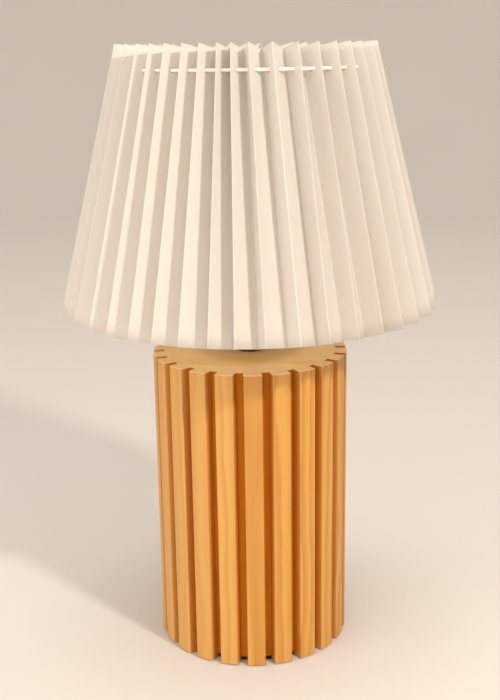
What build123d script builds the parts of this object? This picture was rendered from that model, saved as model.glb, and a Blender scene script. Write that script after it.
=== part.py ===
"""Pleated paper table lamp: a slatted wooden drum with a pleated paper shade on a wire frame.

Millimetres, +Z up. The origin is the centre of the face that rests on the table, and -Y is the front.
"""
from build123d import *
import math
import os

os.makedirs("parts", exist_ok=True)

# ---------------------------------------------------------------- wooden base
base_radius = 65.0            # over the slats' outer faces
base_height = 202.0           # table to the top of the base
slat_count = 22
slat_width = 12.0
slat_lift = 0.8               # slats stop this far above the table
slat_edge_round = 0.9         # along the slats' outer edges
slat_end_bevel = 0.4
core_radius = 57.5            # bottom of the grooves
core_wall = 10.0
seat_depth = 0.5              # flat seat milled in the core for each slat
seat_clearance = 0.1
plate_thickness = 9.0         # top and bottom plates
pad_thickness = 3.0
pad_clearance = 0.5           # to the slats' backs

dowel_count = 4
dowel_radius = 3.0
dowel_in_core = 14.0
dowel_in_plate = 6.0
dowel_clearance = 0.05
dowel_first_angle = 45.0

base_screw_count = 4
base_screw_radius = 1.7
base_screw_length = 30.0
base_screw_head_radius = 4.0
base_screw_clearance = 0.1
base_screw_first_angle = 45.0

# ---------------------------------------------------------------- cable outlet
grommet_height = 24.0         # axis above the table
grommet_bore_radius = 3.1
grommet_radius = 4.0
grommet_flange_radius = 5.2
grommet_flange = 2.0
grommet_recess = 1.2          # spot-face in the rear slat
grommet_clearance = 0.1
grommet_inside = 2.0          # how far it stands inside the core

# ---------------------------------------------------------------- threaded rod and its hardware
rod_radius = 5.0
rod_bore_radius = 3.5
rod_below = 10.0              # under the top plate
rod_clearance = 0.15
rod_thread_clearance = 0.05   # in the nut and the holder's cap
rod_nut_flats = 14.0
rod_nut_height = 4.0
rod_washer_radius = 10.0
rod_washer_thickness = 1.5
collar_radius = 9.0
collar_height = 10.0
collar_round = 0.8

# ---------------------------------------------------------------- lampholder
holder_foot_radius = 11.0     # where the cap meets the collar
holder_wall = 2.0             # round the insert's flange
holder_cap_height = 17.2
holder_dome_height = 10.0
holder_boss_height = 5.0      # solid bottom that the rod screws into
holder_ledge = 4.7            # under the insert's flange
holder_skirt_height = 6.8     # body below its shoulder
shoulder_width = 4.2          # outside the barrel's thread
shoulder_thickness = 4.0
barrel_wall = 3.3             # crest of the outer thread to the bore
barrel_clearance = 0.7        # round the insert
barrel_height = 28.0
barrel_thread_depth = 0.6
barrel_thread_pitch = 2.5
insert_flange_width = 2.4
insert_flange = 3.0
insert_margin = 1.0           # outside the screw shell
insert_height = 16.0
insert_well_radius = 9.0
insert_well_depth = 4.0
insert_seat_clearance = 0.3
terminal_offset = 9.0
terminal_head_radius = 2.2
terminal_head = 2.5
terminal_shank_radius = 1.4
terminal_shank = 5.0
terminal_clearance = 0.1
grub_radius = 1.5
grub_length = 6.0
grub_height = 2.5             # above the cap's foot
grub_clearance = 0.05

# ---------------------------------------------------------------- switch bar
switch_radius = 2.3
switch_clearance = 0.3
switch_height = 10.0          # axis above the cap's foot
switch_travel = 5.0
switch_proud = 3.0            # end that stands out least

# ---------------------------------------------------------------- screw shell and contact
shell_clearance = 0.5         # bulb's thread to the narrowest bore of the screw shell
shell_thickness = 0.5
thread_depth = 0.7
thread_pitch = 3.6
shell_turns = 6
contact_width = 6.0
contact_thickness = 0.6
contact_reach = 7.0           # axis to the bend where the tongue leaves its foot
contact_heel = 5.0            # axis to the other end of the foot
contact_root = 3.0            # foot under the bend
tongue_start = 1.5            # flat top of the tongue, from before the axis
tongue_end = 3.0              # to past it
tongue_rise = 1.5             # above the insert
contact_gap = 0.3             # tongue to the bulb's contact

# ---------------------------------------------------------------- bulb
bulb_radius = 18.5
bulb_length = 98.0
bulb_contact_radius = 4.7
bulb_contact_thickness = 1.2
bulb_insulator_height = 3.3
bulb_cap_radius = 13.1        # crest of its thread
bulb_cap_wall = 0.5
bulb_cap_turns = 4
bulb_skirt_flare = 0.1        # outside its thread
bulb_skirt_height = 8.1
bulb_cap_top = 27.0           # contact to the top of the metal cap
glass_neck_clearance = 0.4    # inside the metal cap
glass_neck_inside = 6.0       # length of neck inside the cap
glass_wall = 0.8
glass_widest = 58.0           # above the contact
glass_shoulder = 3.0          # straight neck above the cap
glass_tip_slope = 0.25        # rise of the tip per unit of radius
stem_clearance = 0.3          # inside the glass neck
stem_foot = 1.5
stem_radius = 3.2
stem_height = 16.0
stem_wire_radius = 0.8
filament_hub_radius = 5.5
filament_hub = 1.0
filament_count = 4
filament_radius = 0.9
filament_length = 32.0
filament_ring_radius = 4.4

# ---------------------------------------------------------------- pleated shade
hem_rise = 33.0               # hem's outer folds above the top of the base
shade_height = 166.0          # outer folds, hem to top edge
hem_radius = 124.0            # outer folds at the hem
top_radius = 83.0             # outer folds at the top edge
pleat_count = 42
panel_width = 18.2            # outer fold to inner fold, along the paper
paper_thickness = 0.5
drawstring_drop = 15.3        # below the top edge's outer folds
drawstring_inset = 7.3        # inside the outer folds
drawstring_radius = 1.0
drawstring_clearance = 0.3
knot_radius = 2.5
tail_spacing = 2.3
tail_bend_radius = 4.0
tail_drop = 10.0
tail_reach = 1.0

# ---------------------------------------------------------------- wire frame
frame_gap = 0.3               # wire to the paper's inner folds
ring_wire_radius = 1.75
strut_wire_radius = 1.5
spoke_wire_radius = 1.75
weld_gap = 0.05
strut_count = 3
spoke_first_angle = 30.0
top_ring_drop = 15.0
fitter_clearance = 1.2        # over the barrel's thread
fitter_weld_length = 4.5      # of each spoke on the plate
fitter_thickness = 1.5
fitter_seat_gap = 0.1
shade_ring_clearance = 0.35   # over the barrel's thread
shade_ring_seat_gap = 0.3
shade_ring_wall = 6.35
shade_ring_height = 8.0
shade_ring_grips = 12
shade_ring_grip_radius = 2.2
shade_ring_bevel = 0.5
spoke_start_gap = 2.0         # spokes start this far outside the shade ring

# ---------------------------------------------------------------- radii worked out from the sizes
shell_crest_radius = bulb_cap_radius + shell_clearance
shell_outside = shell_crest_radius + thread_depth + shell_thickness
insert_radius = shell_outside + insert_margin
insert_flange_radius = insert_radius + insert_flange_width
insert_pocket_radius = insert_flange_radius + insert_seat_clearance
holder_radius = insert_pocket_radius + holder_wall
holder_hollow_radius = insert_flange_radius - holder_ledge
barrel_bore_radius = insert_radius + barrel_clearance
barrel_radius = barrel_bore_radius + barrel_wall
shoulder_radius = barrel_radius + shoulder_width
fitter_hole_radius = barrel_radius + fitter_clearance
shade_ring_bore = barrel_radius + shade_ring_clearance
shade_ring_radius = shade_ring_bore + shade_ring_wall
spoke_start = shade_ring_radius + spoke_start_gap
fitter_radius = spoke_start + fitter_weld_length
bulb_skirt_radius = bulb_cap_radius + bulb_skirt_flare
glass_neck_radius = bulb_skirt_radius - bulb_cap_wall - glass_neck_clearance
stem_foot_radius = glass_neck_radius - glass_wall - stem_clearance
seat_distance = core_radius - seat_depth
pad_radius = seat_distance - pad_clearance

# ---------------------------------------------------------------- heights worked out from the sizes
plate_underside = base_height - plate_thickness
core_bottom = pad_thickness + plate_thickness
collar_top = base_height + collar_height
cap_top = collar_top + holder_cap_height
shoulder_top = cap_top + holder_skirt_height + shoulder_thickness
barrel_top = shoulder_top + barrel_height
insert_bottom = cap_top - insert_flange - seat_clearance
insert_top = insert_bottom + insert_height
tongue_top = insert_top + tongue_rise
bulb_bottom = tongue_top + contact_gap
fitter_bottom = shoulder_top + fitter_seat_gap
fitter_top = fitter_bottom + fitter_thickness
bottom_ring_height = fitter_top + weld_gap + spoke_wire_radius
hem_height = base_height + hem_rise
top_height = hem_height + shade_height
top_ring_height = top_height - top_ring_drop
drawstring_height = top_height - drawstring_drop

parts = {}


def finish(builder, name):
    """Label a finished sub-part and write its file."""
    builder.part.label = name
    export_step(builder.part, f"parts/{name}.step")
    parts[name] = builder.part


def turned_plane(angle, height):
    """A level plane whose local X axis points outwards at the given angle."""
    direction = (math.cos(math.radians(angle)), math.sin(math.radians(angle)), 0)
    return Plane(origin=(0, 0, height), x_dir=direction, z_dir=(0, 0, 1))


def distance_from_axis(edge):
    """How far the middle of an edge lies from the lamp's axis."""
    middle = edge.center()
    return math.hypot(middle.X, middle.Y)


# ================================================================ base
def slatted_disc(hole_radius=None):
    """Draw a disc with a flat seat for each slat and, if asked, a round hole in the middle."""
    Circle(core_radius)
    with PolarLocations(seat_distance + seat_depth, slat_count, start_angle=-90):
        Rectangle(2 * seat_depth, slat_width + 2 * seat_clearance, mode=Mode.SUBTRACT)
    if hole_radius is not None:
        Circle(hole_radius, mode=Mode.SUBTRACT)


def cut_cable_way(radius, depth):
    """Bore towards the axis from the slats' outer face at the rear."""
    with BuildSketch(Plane(origin=(0, base_radius, grommet_height), z_dir=(0, 1, 0))) as way:
        Circle(radius)
    extrude(way.sketch, amount=-depth, mode=Mode.SUBTRACT)


dowel_circle = core_radius - core_wall / 2
rear_slat = slat_count // 2
slat_stock = base_radius - seat_distance + 2 * seat_depth
cable_way = base_radius - core_radius + core_wall + grommet_inside

for index in range(slat_count):
    slat_angle = -90 + index * 360 / slat_count
    with BuildPart() as slat:
        with BuildSketch(turned_plane(slat_angle, slat_lift)):
            with Locations((seat_distance + slat_stock / 2, 0)):
                Rectangle(slat_stock, slat_width)
            Circle(base_radius, mode=Mode.INTERSECT)
        extrude(amount=base_height - slat_lift)
        fillet(slat.edges().filter_by(Axis.Z).sort_by(distance_from_axis)[-2:], slat_edge_round)
        top_edges = slat.faces().sort_by(Axis.Z)[-1].edges().sort_by(distance_from_axis)
        chamfer(top_edges[1:], slat_end_bevel)
        if index == rear_slat:
            cut_cable_way(grommet_radius + grommet_clearance, cable_way)
            cut_cable_way(grommet_flange_radius + 2 * grommet_clearance, grommet_recess)
    finish(slat, f"slat_{index + 1:02d}")

with BuildPart() as base_core:
    with BuildSketch(Plane.XY.offset(core_bottom)):
        slatted_disc(core_radius - core_wall)
    extrude(amount=plate_underside - core_bottom)
    with BuildSketch(Plane.XY.offset(plate_underside)):
        with PolarLocations(dowel_circle, dowel_count, start_angle=dowel_first_angle):
            Circle(dowel_radius + dowel_clearance)
    extrude(amount=-(dowel_in_core + dowel_clearance), mode=Mode.SUBTRACT)
    with BuildSketch(Plane.XY.offset(core_bottom)):
        with PolarLocations(dowel_circle, base_screw_count, start_angle=base_screw_first_angle):
            Circle(base_screw_radius + base_screw_clearance)
    extrude(amount=base_screw_length - plate_thickness + base_screw_radius, mode=Mode.SUBTRACT)
    cut_cable_way(grommet_radius + grommet_clearance, cable_way)
finish(base_core, "base_core")

with BuildPart() as top_plate:
    with BuildSketch(Plane.XY.offset(plate_underside)):
        slatted_disc(rod_radius + rod_clearance)
    extrude(amount=plate_thickness)
    with BuildSketch(Plane.XY.offset(plate_underside)):
        with PolarLocations(dowel_circle, dowel_count, start_angle=dowel_first_angle):
            Circle(dowel_radius + dowel_clearance)
    extrude(amount=dowel_in_plate + dowel_clearance, mode=Mode.SUBTRACT)
finish(top_plate, "top_plate")

with BuildPart() as bottom_plate:
    with BuildSketch(Plane.XY.offset(pad_thickness)):
        slatted_disc()
    extrude(amount=plate_thickness)
    with Locations(Plane.XY.offset(pad_thickness).rotated((180, 0, 0))):
        with PolarLocations(dowel_circle, base_screw_count, start_angle=base_screw_first_angle):
            CounterSinkHole(base_screw_radius + base_screw_clearance,
                            base_screw_head_radius + base_screw_clearance, depth=plate_thickness)
finish(bottom_plate, "bottom_plate")

with BuildPart() as foot_pad:
    Cylinder(pad_radius, pad_thickness, align=(Align.CENTER, Align.CENTER, Align.MIN))
finish(foot_pad, "foot_pad")

with BuildPart() as top_dowels:
    with BuildSketch(Plane.XY.offset(plate_underside - dowel_in_core)):
        with PolarLocations(dowel_circle, dowel_count, start_angle=dowel_first_angle):
            Circle(dowel_radius)
    extrude(amount=dowel_in_core + dowel_in_plate)
    chamfer(top_dowels.edges().filter_by(GeomType.CIRCLE), dowel_radius / 5)
finish(top_dowels, "top_dowels")

with BuildPart() as bottom_screws:
    head_depth = base_screw_head_radius - base_screw_radius
    screw_foot = pad_thickness + base_screw_clearance
    with PolarLocations(dowel_circle, base_screw_count, start_angle=base_screw_first_angle):
        with Locations((0, 0, screw_foot)):
            Cylinder(base_screw_radius, base_screw_length - base_screw_clearance,
                     align=(Align.CENTER, Align.CENTER, Align.MIN))
            Cone(base_screw_head_radius, base_screw_radius, head_depth,
                 align=(Align.CENTER, Align.CENTER, Align.MIN))
finish(bottom_screws, "bottom_screws")

# ================================================================ cable outlet
with BuildPart() as cable_grommet:
    flange_outside = base_radius - grommet_recess + grommet_flange
    sleeve_inside = core_radius - core_wall - grommet_inside
    with BuildSketch(Plane(origin=(0, flange_outside, grommet_height), z_dir=(0, 1, 0))):
        Circle(grommet_flange_radius)
    extrude(amount=-grommet_flange)
    fillet(cable_grommet.edges().filter_by(GeomType.CIRCLE).sort_by(Axis.Y)[-1], grommet_flange / 3)
    with BuildSketch(Plane(origin=(0, flange_outside - grommet_flange, grommet_height), z_dir=(0, 1, 0))):
        Circle(grommet_radius)
    extrude(amount=-(flange_outside - grommet_flange - sleeve_inside))
    with BuildSketch(Plane(origin=(0, flange_outside, grommet_height), z_dir=(0, 1, 0))):
        Circle(grommet_bore_radius)
    extrude(amount=-(flange_outside - sleeve_inside), mode=Mode.SUBTRACT)
finish(cable_grommet, "cable_grommet")
print("cable outlet: length", round(flange_outside - sleeve_inside, 3), "from y", sleeve_inside)


# ================================================================ rod and hardware
def round_ring(outer_radius, inner_radius, bottom, height):
    """A round ring about the lamp's axis, with flat ends."""
    with BuildPart() as ring:
        with BuildSketch(Plane.XY.offset(bottom)):
            Circle(outer_radius)
            Circle(inner_radius, mode=Mode.SUBTRACT)
        extrude(amount=height)
    return ring


rod_bottom = plate_underside - rod_below
rod_top = collar_top + holder_boss_height
threaded_rod = round_ring(rod_radius, rod_bore_radius, rod_bottom, rod_top - rod_bottom)
finish(threaded_rod, "threaded_rod")

rod_washer = round_ring(rod_washer_radius, rod_radius + rod_clearance,
                        plate_underside - rod_washer_thickness, rod_washer_thickness)
finish(rod_washer, "rod_washer")

with BuildPart() as rod_nut:
    with BuildSketch(Plane.XY.offset(plate_underside - rod_washer_thickness - rod_nut_height)):
        RegularPolygon(rod_nut_flats / 2, 6, major_radius=False)
        Circle(rod_radius + rod_thread_clearance, mode=Mode.SUBTRACT)
    extrude(amount=rod_nut_height)
finish(rod_nut, "rod_nut")

with BuildPart() as neck_collar:
    with BuildSketch(Plane.XY.offset(base_height)):
        Circle(collar_radius)
        Circle(rod_radius + rod_clearance, mode=Mode.SUBTRACT)
    extrude(amount=collar_height)
    fillet(neck_collar.faces().sort_by(Axis.Z)[-1].outer_wire().edges(), collar_round)
finish(neck_collar, "neck_collar")

# ================================================================ lampholder
with BuildPart() as holder_cap:
    dome_top = collar_top + holder_dome_height
    hollow_floor = collar_top + holder_boss_height
    with BuildSketch(Plane.XZ):
        with BuildLine():
            foot = Line((rod_radius + rod_thread_clearance, collar_top), (holder_foot_radius, collar_top))
            dome = EllipticalCenterArc((holder_foot_radius, dome_top), holder_radius - holder_foot_radius,
                                       holder_dome_height, start_angle=270, arc_size=90)
            Polyline(dome @ 1, (holder_radius, cap_top),
                     (insert_pocket_radius, cap_top), (insert_pocket_radius, insert_bottom),
                     (holder_hollow_radius, insert_bottom), (holder_hollow_radius, hollow_floor),
                     (rod_radius + rod_thread_clearance, hollow_floor), foot @ 0)
        make_face()
    revolve(axis=Axis.Z)
    with BuildSketch(Plane.YZ):
        with Locations((0, collar_top + switch_height)):
            Circle(switch_radius + switch_clearance)
    extrude(amount=holder_radius * 2, both=True, mode=Mode.SUBTRACT)
    with BuildSketch(Plane(origin=(0, 0, collar_top + grub_height), z_dir=(0, 1, 0))):
        Circle(grub_radius + grub_clearance)
    extrude(amount=holder_radius, mode=Mode.SUBTRACT)
finish(holder_cap, "holder_cap")

with BuildPart() as holder_grub_screw:
    grub_start = rod_radius + rod_clearance
    with BuildSketch(Plane(origin=(0, grub_start, collar_top + grub_height), z_dir=(0, 1, 0))):
        Circle(grub_radius)
    extrude(amount=grub_length)
    with BuildSketch(Plane(origin=(0, grub_start + grub_length, collar_top + grub_height), z_dir=(0, 1, 0))):
        Rectangle(grub_radius / 3, 2 * grub_radius)
    extrude(amount=-grub_length / 5, mode=Mode.SUBTRACT)
finish(holder_grub_screw, "holder_grub_screw")

with BuildPart() as holder_body:
    skirt_top = cap_top + holder_skirt_height
    with BuildSketch(Plane.XZ):
        Polygon((barrel_bore_radius, cap_top), (holder_radius, cap_top), (holder_radius, skirt_top),
                (shoulder_radius, skirt_top), (shoulder_radius, shoulder_top),
                (barrel_radius, shoulder_top), (barrel_radius, barrel_top),
                (barrel_bore_radius, barrel_top), align=None)
    revolve(axis=Axis.Z)
    groove_count = int((barrel_height - barrel_thread_pitch) / barrel_thread_pitch)
    with BuildSketch(Plane.XZ):
        for groove in range(groove_count):
            groove_middle = shoulder_top + (groove + 1) * barrel_thread_pitch
            Polygon((barrel_radius - barrel_thread_depth, groove_middle),
                    (barrel_radius + barrel_thread_depth, groove_middle - barrel_thread_pitch / 2),
                    (barrel_radius + barrel_thread_depth, groove_middle + barrel_thread_pitch / 2),
                    align=None)
    revolve(axis=Axis.Z, mode=Mode.SUBTRACT)
finish(holder_body, "holder_body")

with BuildPart() as holder_insert:
    well_floor = insert_top - insert_well_depth
    with BuildSketch(Plane.XZ):
        Polygon((0, insert_bottom), (insert_flange_radius, insert_bottom),
                (insert_flange_radius, insert_bottom + insert_flange),
                (insert_radius, insert_bottom + insert_flange), (insert_radius, insert_top),
                (insert_well_radius, insert_top), (insert_well_radius, well_floor),
                (0, well_floor), align=None)
    revolve(axis=Axis.Z)
    with BuildSketch(Plane.XY.offset(insert_bottom)):
        with Locations((0, terminal_offset), (0, -terminal_offset)):
            Circle(terminal_shank_radius + terminal_clearance)
    extrude(amount=terminal_shank + terminal_clearance, mode=Mode.SUBTRACT)
finish(holder_insert, "holder_insert")

with BuildPart() as terminal_screws:
    with BuildSketch(Plane.XY.offset(insert_bottom - terminal_head)):
        with Locations((0, terminal_offset), (0, -terminal_offset)):
            Circle(terminal_head_radius)
    extrude(amount=terminal_head)
    with BuildSketch(Plane.XY.offset(insert_bottom - terminal_head)):
        with Locations((0, terminal_offset), (0, -terminal_offset)):
            Rectangle(2 * terminal_head_radius, terminal_head_radius / 3)
    extrude(amount=terminal_head / 3, mode=Mode.SUBTRACT)
    with BuildSketch(Plane.XY.offset(insert_bottom)):
        with Locations((0, terminal_offset), (0, -terminal_offset)):
            Circle(terminal_shank_radius)
    extrude(amount=terminal_shank)
finish(terminal_screws, "terminal_screws")


def wavy_side(crest, bottom, turns):
    """Points up the side of a rolled thread: crest, root, crest and so on."""
    return [(crest - (step % 2) * thread_depth, bottom + step * thread_pitch / 2)
            for step in range(2 * turns + 1)]


with BuildPart() as screw_shell:
    bore_side = wavy_side(shell_crest_radius + thread_depth, insert_top, shell_turns)
    back_side = [(radius + shell_thickness, height) for radius, height in reversed(bore_side)]
    lip_radius = insert_well_radius + 1
    with BuildSketch(Plane.XZ):
        Polygon(*bore_side, *back_side, align=None)
    revolve(axis=Axis.Z)
    with BuildSketch(Plane.XY.offset(insert_top)):
        Circle(shell_crest_radius + thread_depth)
        Circle(lip_radius, mode=Mode.SUBTRACT)
    extrude(amount=shell_thickness)
finish(screw_shell, "screw_shell")

with BuildPart() as centre_contact:
    with BuildSketch(Plane.XZ):
        with BuildLine():
            Polyline((-contact_reach, well_floor), (contact_heel, well_floor),
                     (contact_heel, well_floor + contact_thickness),
                     (contact_root - contact_reach, well_floor + contact_thickness),
                     (contact_thickness - tongue_start, tongue_top - contact_thickness),
                     (tongue_end, tongue_top - contact_thickness),
                     (tongue_end, tongue_top), (-tongue_start, tongue_top),
                     (-contact_reach, well_floor + 2 * contact_thickness), (-contact_reach, well_floor))
        make_face()
    extrude(amount=contact_width / 2, both=True)
finish(centre_contact, "centre_contact")

with BuildPart() as switch_bar:
    short_end = -(holder_radius + switch_proud)
    long_end = holder_radius + switch_proud + switch_travel
    with BuildSketch(Plane(origin=(short_end, 0, collar_top + switch_height), z_dir=(1, 0, 0))):
        Circle(switch_radius)
    extrude(amount=long_end - short_end)
    fillet(switch_bar.edges().filter_by(GeomType.CIRCLE), switch_radius / 2)
finish(switch_bar, "switch_bar")

# ================================================================ bulb
bulb_cap_height = bulb_bottom + bulb_cap_top
cap_thread_bottom = bulb_bottom + bulb_contact_thickness + bulb_insulator_height

with BuildPart() as bulb_contact:
    Cylinder(bulb_contact_radius, bulb_contact_thickness, align=(Align.CENTER, Align.CENTER, Align.MIN))
    fillet(bulb_contact.edges().sort_by(Axis.Z)[0], bulb_contact_thickness / 2)
bulb_contact.part.position = (0, 0, bulb_bottom)
finish(bulb_contact, "bulb_contact")

with BuildPart() as bulb_insulator:
    insulator_bottom = bulb_bottom + bulb_contact_thickness
    with BuildSketch(Plane.XZ):
        Polygon((0, insulator_bottom), (bulb_contact_radius + 1, insulator_bottom),
                (bulb_cap_radius - thread_depth, cap_thread_bottom), (0, cap_thread_bottom), align=None)
    revolve(axis=Axis.Z)
finish(bulb_insulator, "bulb_insulator")

with BuildPart() as bulb_cap:
    thread_side = [(bulb_cap_radius - thread_depth, cap_thread_bottom)]
    thread_side += [(radius, height + thread_pitch / 2) for radius, height in
                    wavy_side(bulb_cap_radius, cap_thread_bottom, bulb_cap_turns)]
    skirt_bottom = bulb_cap_height - bulb_skirt_height
    thread_side = [point for point in thread_side if point[1] < skirt_bottom - thread_pitch / 4]
    outside = thread_side + [(bulb_skirt_radius, skirt_bottom), (bulb_skirt_radius, bulb_cap_height)]
    inside = [(radius - bulb_cap_wall, height) for radius, height in reversed(outside)]
    with BuildSketch(Plane.XZ):
        Polygon(*outside, *inside, align=None)
    revolve(axis=Axis.Z)
finish(bulb_cap, "bulb_cap")


def glass_side(inset):
    """The bulb's outline from its neck to its tip, drawn inside the outer face by the inset."""
    neck = glass_neck_radius - inset
    widest = bulb_radius - inset
    straight = Line((neck, bulb_cap_height - glass_neck_inside), (neck, bulb_cap_height + glass_shoulder))
    swell = Spline(straight @ 1, (widest, bulb_bottom + glass_widest), tangents=((0, 1), (0, 1)))
    taper = Spline(swell @ 1, (0, bulb_bottom + bulb_length - inset),
                   tangents=((0, 1), (-1, glass_tip_slope)))
    return straight @ 0, taper @ 1


with BuildPart() as bulb_glass:
    with BuildSketch(Plane.XZ):
        with BuildLine():
            outer_foot, outer_tip = glass_side(0)
            inner_foot, inner_tip = glass_side(glass_wall)
            Line(outer_foot, inner_foot)
            Line(outer_tip, inner_tip)
        make_face()
    revolve(axis=Axis.Z)
finish(bulb_glass, "bulb_glass")

with BuildPart() as bulb_stem:
    stem_bottom = bulb_cap_height
    filament_bottom = stem_bottom + stem_height
    filament_top = filament_bottom + filament_hub + filament_length
    with BuildSketch(Plane.XZ):
        Polygon((0, stem_bottom), (stem_foot_radius, stem_bottom),
                (stem_foot_radius, stem_bottom + stem_foot), (stem_radius, stem_bottom + 2 * stem_radius),
                (stem_radius, filament_bottom), (filament_hub_radius, filament_bottom),
                (filament_hub_radius, filament_bottom + filament_hub),
                (stem_wire_radius, filament_bottom + filament_hub), (stem_wire_radius, filament_top),
                (filament_hub_radius, filament_top), (filament_hub_radius, filament_top + filament_hub),
                (0, filament_top + filament_hub), align=None)
    revolve(axis=Axis.Z)
finish(bulb_stem, "bulb_stem")

with BuildPart() as bulb_filaments:
    with BuildSketch(Plane.XY.offset(filament_bottom + filament_hub)):
        with PolarLocations(filament_ring_radius, filament_count, start_angle=45):
            Circle(filament_radius)
    extrude(amount=filament_length)
finish(bulb_filaments, "bulb_filaments")

# ================================================================ pleated shade
pleat_pitch = 360 / pleat_count
half_pitch = math.radians(pleat_pitch / 2)
rear_valley_angle = -90 + (pleat_count // 2) * pleat_pitch
lean = (hem_radius - top_radius) / shade_height


def fold_radius(outer_radius):
    """Radius of the inner fold whose panel, cut square to the folds, has the panel's width."""
    grown = 1 + lean ** 2
    along = outer_radius * (math.cos(half_pitch) + lean ** 2)
    spare = along ** 2 - grown * (outer_radius ** 2 * grown - panel_width ** 2)
    return (along - math.sqrt(spare)) / grown


hem_fold_radius = fold_radius(hem_radius)
top_fold_radius = fold_radius(top_radius)
hem_fold_height = hem_height - lean * (hem_radius - hem_fold_radius)
top_fold_height = top_height - lean * (top_radius - top_fold_radius)


def outer_fold_at(height):
    """Radius of the outer folds at a height."""
    return hem_radius - lean * (height - hem_height)


def inner_fold_at(height):
    """Radius of the valleys between the pleats at a height."""
    share = (height - hem_fold_height) / (top_fold_height - hem_fold_height)
    return hem_fold_radius + share * (top_fold_radius - hem_fold_radius)


def wall_share(height):
    """The paper's inner face is its outer face drawn in by this share, which is one thickness."""
    outer, inner = outer_fold_at(height), inner_fold_at(height)
    panel = math.hypot(outer - inner * math.cos(half_pitch), inner * math.sin(half_pitch))
    panel_distance = outer * inner * math.sin(half_pitch) / panel
    return 1 - paper_thickness / panel_distance


def draw_pleats(height, share):
    """Draw the zigzag of all the pleats at a height, with a valley to the front."""
    corners = []
    for pleat in range(pleat_count):
        fold_angle = -math.pi / 2 + (2 * pleat + 1) * half_pitch
        valley_angle = fold_angle + half_pitch
        outer = share * outer_fold_at(height)
        inner = share * inner_fold_at(height)
        corners.append((outer * math.cos(fold_angle), outer * math.sin(fold_angle)))
        corners.append((inner * math.cos(valley_angle), inner * math.sin(valley_angle)))
    Polygon(*corners, align=None)


overrun = 6.0                 # the pleats are drawn longer than they are and then trimmed
blank_bottom = hem_fold_height - overrun
blank_top = top_height + overrun
trim_radius = hem_radius + 2 * overrun

with BuildPart() as pleated_shade:
    with BuildSketch(Plane.XY.offset(blank_bottom)):
        draw_pleats(blank_bottom, 1)
    with BuildSketch(Plane.XY.offset(blank_top)):
        draw_pleats(blank_top, 1)
    loft(ruled=True)
    hollow_bottom, hollow_top = blank_bottom - 1, blank_top + 1
    with BuildSketch(Plane.XY.offset(hollow_bottom)):
        draw_pleats(hollow_bottom, wall_share(hollow_bottom))
    with BuildSketch(Plane.XY.offset(hollow_top)):
        draw_pleats(hollow_top, wall_share(hollow_top))
    loft(ruled=True, mode=Mode.SUBTRACT)
    with BuildSketch(Plane.XZ):
        Polygon((0, blank_bottom - 2 * hem_radius), (trim_radius, blank_bottom - 2 * hem_radius),
                (trim_radius, hem_height + lean * (trim_radius - hem_radius)),
                (0, hem_height - lean * hem_radius), align=None)
    revolve(axis=Axis.Z, mode=Mode.SUBTRACT)
    with BuildSketch(Plane.XZ):
        Polygon((0, blank_top + 2 * overrun), (trim_radius, blank_top + 2 * overrun),
                (trim_radius, top_height + lean * (trim_radius - top_radius)),
                (0, top_height - lean * top_radius), align=None)
    revolve(axis=Axis.Z, mode=Mode.SUBTRACT)
    drawstring_circle = outer_fold_at(drawstring_height) - drawstring_inset
    with BuildSketch(Plane.XZ):
        with Locations((drawstring_circle, drawstring_height)):
            Circle(drawstring_radius + drawstring_clearance)
    revolve(axis=Axis.Z, mode=Mode.SUBTRACT)
finish(pleated_shade, "pleated_shade")
print("pleats: inner folds", round(hem_fold_radius, 2), round(hem_fold_height, 2),
      round(top_fold_radius, 2), round(top_fold_height, 2),
      "strip", round(2 * pleat_count * panel_width), "by", round(shade_height * math.hypot(1, lean), 1))

# The drawstring runs once round the shade and is tied in the valley at the rear.
knot_plane = turned_plane(rear_valley_angle, drawstring_height)
knot_outwards = knot_plane.x_dir
knot_across = knot_outwards.cross(knot_plane.z_dir)
with BuildPart() as drawstring:
    with BuildSketch(Plane.XZ):
        with Locations((drawstring_circle, drawstring_height)):
            Circle(drawstring_radius)
    revolve(axis=Axis.Z)
    with Locations(knot_plane.origin + knot_outwards * drawstring_circle):
        Sphere(knot_radius)
    for side in (-1, 1):
        tail_start = (knot_plane.origin + knot_outwards * drawstring_circle
                      + knot_across * (side * tail_spacing / 2))
        bend_start = knot_radius / 2 + tail_reach
        with BuildLine(Plane(origin=tail_start, x_dir=knot_outwards, z_dir=knot_across)) as tail_path:
            Line((0, 0), (bend_start, 0))
            JernArc((bend_start, 0), (1, 0), tail_bend_radius, -90)
            Line((bend_start + tail_bend_radius, -tail_bend_radius),
                 (bend_start + tail_bend_radius, -tail_bend_radius - tail_drop))
        with BuildSketch(Plane(origin=tail_start, z_dir=knot_outwards)):
            Circle(drawstring_radius)
        sweep(path=tail_path.wire())
finish(drawstring, "drawstring")
print("drawstring: circle", round(drawstring_circle, 2), "tail bends", tail_bend_radius,
      "tail length", round(tail_path.wire().length, 1))


# ================================================================ wire frame
def paper_inside_at(height):
    """Radius that the paper's inner folds leave free at a height."""
    low = inner_fold_at(hollow_bottom) * wall_share(hollow_bottom)
    high = inner_fold_at(hollow_top) * wall_share(hollow_top)
    return low + (high - low) * (height - hollow_bottom) / (hollow_top - hollow_bottom)


def ring_radius_at(height):
    """Radius of a wire ring's centre line that lies just inside the pleats."""
    shrink = paper_inside_at(blank_bottom) - paper_inside_at(blank_top)
    slope = math.atan(shrink / (blank_top - blank_bottom))
    return paper_inside_at(height) - (ring_wire_radius + frame_gap) / math.cos(slope)


bottom_ring_circle = ring_radius_at(bottom_ring_height)
top_ring_circle = ring_radius_at(top_ring_height)

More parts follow.
